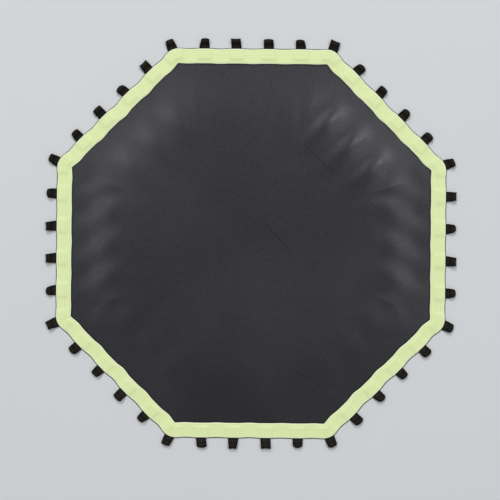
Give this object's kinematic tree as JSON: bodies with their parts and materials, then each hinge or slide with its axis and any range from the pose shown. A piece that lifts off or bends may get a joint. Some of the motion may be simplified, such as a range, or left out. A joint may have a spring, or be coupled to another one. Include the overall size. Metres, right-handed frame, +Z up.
{
  "type": "trampoline jumping bed",
  "caption": "Octagonal woven jumping bed of a fitness trampoline, with a lime webbing border and sewn webbing loops round its edge for the cords of a frame.",
  "frame": {"origin": "centre of the bed, on the plane that its underside lies on", "axes": "+Z up, out of the side that is jumped on; +X and +Y square to two pairs of opposite sides of the octagon"},
  "size_m": [1.0078, 1.0078, 0.0127],
  "materials": {
    "bed_fabric": "tight matt weave of dark grey polypropylene tape",
    "border_webbing": "ribbed lime polyester webbing with a slight sheen",
    "loop_webbing": "black polypropylene webbing"
  },
  "bodies": {
    "bed": {"bed_fabric": "bed_fabric", "border_webbing": "border_webbing", "loop_tails": "loop_webbing"},
    "loop_01": {"loop_01": "loop_webbing"},
    "loop_02": {"loop_02": "loop_webbing"},
    "loop_03": {"loop_03": "loop_webbing"},
    "loop_04": {"loop_04": "loop_webbing"},
    "loop_05": {"loop_05": "loop_webbing"},
    "loop_06": {"loop_06": "loop_webbing"},
    "loop_07": {"loop_07": "loop_webbing"},
    "loop_08": {"loop_08": "loop_webbing"},
    "loop_09": {"loop_09": "loop_webbing"},
    "loop_10": {"loop_10": "loop_webbing"},
    "loop_11": {"loop_11": "loop_webbing"},
    "loop_12": {"loop_12": "loop_webbing"},
    "loop_13": {"loop_13": "loop_webbing"},
    "loop_14": {"loop_14": "loop_webbing"},
    "loop_15": {"loop_15": "loop_webbing"},
    "loop_16": {"loop_16": "loop_webbing"},
    "loop_17": {"loop_17": "loop_webbing"},
    "loop_18": {"loop_18": "loop_webbing"},
    "loop_19": {"loop_19": "loop_webbing"},
    "loop_20": {"loop_20": "loop_webbing"},
    "loop_21": {"loop_21": "loop_webbing"},
    "loop_22": {"loop_22": "loop_webbing"},
    "loop_23": {"loop_23": "loop_webbing"},
    "loop_24": {"loop_24": "loop_webbing"},
    "loop_25": {"loop_25": "loop_webbing"},
    "loop_26": {"loop_26": "loop_webbing"},
    "loop_27": {"loop_27": "loop_webbing"},
    "loop_28": {"loop_28": "loop_webbing"},
    "loop_29": {"loop_29": "loop_webbing"},
    "loop_30": {"loop_30": "loop_webbing"},
    "loop_31": {"loop_31": "loop_webbing"},
    "loop_32": {"loop_32": "loop_webbing"},
    "loop_33": {"loop_33": "loop_webbing"},
    "loop_34": {"loop_34": "loop_webbing"},
    "loop_35": {"loop_35": "loop_webbing"},
    "loop_36": {"loop_36": "loop_webbing"},
    "loop_37": {"loop_37": "loop_webbing"},
    "loop_38": {"loop_38": "loop_webbing"},
    "loop_39": {"loop_39": "loop_webbing"},
    "loop_40": {"loop_40": "loop_webbing"}
  },
  "joints": [
    {"name": "loop_01_flex", "type": "hinge", "parent": "bed", "child": "loop_01", "pos_m": [0.48026, -0.19893, 0.0028], "axis": [-0.3827, -0.9239, 0], "range_deg": [0, 75], "stiffness_Nm_per_rad": 0.01},
    {"name": "loop_02_flex", "type": "hinge", "parent": "bed", "child": "loop_02", "pos_m": [0.4835, -0.11929, 0.0028], "axis": [0, -1, 0], "range_deg": [0, 75], "stiffness_Nm_per_rad": 0.01},
    {"name": "loop_03_flex", "type": "hinge", "parent": "bed", "child": "loop_03", "pos_m": [0.4835, -0.03977, 0.0028], "axis": [0, -1, 0], "range_deg": [0, 75], "stiffness_Nm_per_rad": 0.01},
    {"name": "loop_04_flex", "type": "hinge", "parent": "bed", "child": "loop_04", "pos_m": [0.4835, 0.03977, 0.0028], "axis": [0, -1, 0], "range_deg": [0, 75], "stiffness_Nm_per_rad": 0.01},
    {"name": "loop_05_flex", "type": "hinge", "parent": "bed", "child": "loop_05", "pos_m": [0.4835, 0.11929, 0.0028], "axis": [0, -1, 0], "range_deg": [0, 75], "stiffness_Nm_per_rad": 0.01},
    {"name": "loop_06_flex", "type": "hinge", "parent": "bed", "child": "loop_06", "pos_m": [0.48026, 0.19893, 0.0028], "axis": [0.3827, -0.9239, 0], "range_deg": [0, 75], "stiffness_Nm_per_rad": 0.01},
    {"name": "loop_07_flex", "type": "hinge", "parent": "bed", "child": "loop_07", "pos_m": [0.42624, 0.25753, 0.0028], "axis": [0.7071, -0.7071, 0], "range_deg": [0, 75], "stiffness_Nm_per_rad": 0.01},
    {"name": "loop_08_flex", "type": "hinge", "parent": "bed", "child": "loop_08", "pos_m": [0.37, 0.31377, 0.0028], "axis": [0.7071, -0.7071, 0], "range_deg": [0, 75], "stiffness_Nm_per_rad": 0.01},
    {"name": "loop_09_flex", "type": "hinge", "parent": "bed", "child": "loop_09", "pos_m": [0.31377, 0.37, 0.0028], "axis": [0.7071, -0.7071, 0], "range_deg": [0, 75], "stiffness_Nm_per_rad": 0.01},
    {"name": "loop_10_flex", "type": "hinge", "parent": "bed", "child": "loop_10", "pos_m": [0.25753, 0.42624, 0.0028], "axis": [0.7071, -0.7071, 0], "range_deg": [0, 75], "stiffness_Nm_per_rad": 0.01},
    {"name": "loop_11_flex", "type": "hinge", "parent": "bed", "child": "loop_11", "pos_m": [0.19893, 0.48026, 0.0028], "axis": [0.9239, -0.3827, 0], "range_deg": [0, 75], "stiffness_Nm_per_rad": 0.01},
    {"name": "loop_12_flex", "type": "hinge", "parent": "bed", "child": "loop_12", "pos_m": [0.11929, 0.4835, 0.0028], "axis": [1, 0, 0], "range_deg": [0, 75], "stiffness_Nm_per_rad": 0.01},
    {"name": "loop_13_flex", "type": "hinge", "parent": "bed", "child": "loop_13", "pos_m": [0.03977, 0.4835, 0.0028], "axis": [1, 0, 0], "range_deg": [0, 75], "stiffness_Nm_per_rad": 0.01},
    {"name": "loop_14_flex", "type": "hinge", "parent": "bed", "child": "loop_14", "pos_m": [-0.03977, 0.4835, 0.0028], "axis": [1, 0, 0], "range_deg": [0, 75], "stiffness_Nm_per_rad": 0.01},
    {"name": "loop_15_flex", "type": "hinge", "parent": "bed", "child": "loop_15", "pos_m": [-0.11929, 0.4835, 0.0028], "axis": [1, 0, 0], "range_deg": [0, 75], "stiffness_Nm_per_rad": 0.01},
    {"name": "loop_16_flex", "type": "hinge", "parent": "bed", "child": "loop_16", "pos_m": [-0.19893, 0.48026, 0.0028], "axis": [0.9239, 0.3827, 0], "range_deg": [0, 75], "stiffness_Nm_per_rad": 0.01},
    {"name": "loop_17_flex", "type": "hinge", "parent": "bed", "child": "loop_17", "pos_m": [-0.25753, 0.42624, 0.0028], "axis": [0.7071, 0.7071, 0], "range_deg": [0, 75], "stiffness_Nm_per_rad": 0.01},
    {"name": "loop_18_flex", "type": "hinge", "parent": "bed", "child": "loop_18", "pos_m": [-0.31377, 0.37, 0.0028], "axis": [0.7071, 0.7071, 0], "range_deg": [0, 75], "stiffness_Nm_per_rad": 0.01},
    {"name": "loop_19_flex", "type": "hinge", "parent": "bed", "child": "loop_19", "pos_m": [-0.37, 0.31377, 0.0028], "axis": [0.7071, 0.7071, 0], "range_deg": [0, 75], "stiffness_Nm_per_rad": 0.01},
    {"name": "loop_20_flex", "type": "hinge", "parent": "bed", "child": "loop_20", "pos_m": [-0.42624, 0.25753, 0.0028], "axis": [0.7071, 0.7071, 0], "range_deg": [0, 75], "stiffness_Nm_per_rad": 0.01},
    {"name": "loop_21_flex", "type": "hinge", "parent": "bed", "child": "loop_21", "pos_m": [-0.48026, 0.19893, 0.0028], "axis": [0.3827, 0.9239, 0], "range_deg": [0, 75], "stiffness_Nm_per_rad": 0.01},
    {"name": "loop_22_flex", "type": "hinge", "parent": "bed", "child": "loop_22", "pos_m": [-0.4835, 0.11929, 0.0028], "axis": [0, 1, 0], "range_deg": [0, 75], "stiffness_Nm_per_rad": 0.01},
    {"name": "loop_23_flex", "type": "hinge", "parent": "bed", "child": "loop_23", "pos_m": [-0.4835, 0.03977, 0.0028], "axis": [0, 1, 0], "range_deg": [0, 75], "stiffness_Nm_per_rad": 0.01},
    {"name": "loop_24_flex", "type": "hinge", "parent": "bed", "child": "loop_24", "pos_m": [-0.4835, -0.03977, 0.0028], "axis": [0, 1, 0], "range_deg": [0, 75], "stiffness_Nm_per_rad": 0.01},
    {"name": "loop_25_flex", "type": "hinge", "parent": "bed", "child": "loop_25", "pos_m": [-0.4835, -0.11929, 0.0028], "axis": [0, 1, 0], "range_deg": [0, 75], "stiffness_Nm_per_rad": 0.01},
    {"name": "loop_26_flex", "type": "hinge", "parent": "bed", "child": "loop_26", "pos_m": [-0.48026, -0.19893, 0.0028], "axis": [-0.3827, 0.9239, 0], "range_deg": [0, 75], "stiffness_Nm_per_rad": 0.01},
    {"name": "loop_27_flex", "type": "hinge", "parent": "bed", "child": "loop_27", "pos_m": [-0.42624, -0.25753, 0.0028], "axis": [-0.7071, 0.7071, 0], "range_deg": [0, 75], "stiffness_Nm_per_rad": 0.01},
    {"name": "loop_28_flex", "type": "hinge", "parent": "bed", "child": "loop_28", "pos_m": [-0.37, -0.31377, 0.0028], "axis": [-0.7071, 0.7071, 0], "range_deg": [0, 75], "stiffness_Nm_per_rad": 0.01},
    {"name": "loop_29_flex", "type": "hinge", "parent": "bed", "child": "loop_29", "pos_m": [-0.31377, -0.37, 0.0028], "axis": [-0.7071, 0.7071, 0], "range_deg": [0, 75], "stiffness_Nm_per_rad": 0.01},
    {"name": "loop_30_flex", "type": "hinge", "parent": "bed", "child": "loop_30", "pos_m": [-0.25753, -0.42624, 0.0028], "axis": [-0.7071, 0.7071, 0], "range_deg": [0, 75], "stiffness_Nm_per_rad": 0.01},
    {"name": "loop_31_flex", "type": "hinge", "parent": "bed", "child": "loop_31", "pos_m": [-0.19893, -0.48026, 0.0028], "axis": [-0.9239, 0.3827, 0], "range_deg": [0, 75], "stiffness_Nm_per_rad": 0.01},
    {"name": "loop_32_flex", "type": "hinge", "parent": "bed", "child": "loop_32", "pos_m": [-0.11929, -0.4835, 0.0028], "axis": [-1, 0, 0], "range_deg": [0, 75], "stiffness_Nm_per_rad": 0.01},
    {"name": "loop_33_flex", "type": "hinge", "parent": "bed", "child": "loop_33", "pos_m": [-0.03977, -0.4835, 0.0028], "axis": [-1, 0, 0], "range_deg": [0, 75], "stiffness_Nm_per_rad": 0.01},
    {"name": "loop_34_flex", "type": "hinge", "parent": "bed", "child": "loop_34", "pos_m": [0.03977, -0.4835, 0.0028], "axis": [-1, 0, 0], "range_deg": [0, 75], "stiffness_Nm_per_rad": 0.01},
    {"name": "loop_35_flex", "type": "hinge", "parent": "bed", "child": "loop_35", "pos_m": [0.11929, -0.4835, 0.0028], "axis": [-1, 0, 0], "range_deg": [0, 75], "stiffness_Nm_per_rad": 0.01},
    {"name": "loop_36_flex", "type": "hinge", "parent": "bed", "child": "loop_36", "pos_m": [0.19893, -0.48026, 0.0028], "axis": [-0.9239, -0.3827, 0], "range_deg": [0, 75], "stiffness_Nm_per_rad": 0.01},
    {"name": "loop_37_flex", "type": "hinge", "parent": "bed", "child": "loop_37", "pos_m": [0.25753, -0.42624, 0.0028], "axis": [-0.7071, -0.7071, 0], "range_deg": [0, 75], "stiffness_Nm_per_rad": 0.01},
    {"name": "loop_38_flex", "type": "hinge", "parent": "bed", "child": "loop_38", "pos_m": [0.31377, -0.37, 0.0028], "axis": [-0.7071, -0.7071, 0], "range_deg": [0, 75], "stiffness_Nm_per_rad": 0.01},
    {"name": "loop_39_flex", "type": "hinge", "parent": "bed", "child": "loop_39", "pos_m": [0.37, -0.31377, 0.0028], "axis": [-0.7071, -0.7071, 0], "range_deg": [0, 75], "stiffness_Nm_per_rad": 0.01},
    {"name": "loop_40_flex", "type": "hinge", "parent": "bed", "child": "loop_40", "pos_m": [0.42624, -0.25753, 0.0028], "axis": [-0.7071, -0.7071, 0], "range_deg": [0, 75], "stiffness_Nm_per_rad": 0.01}
  ]
}
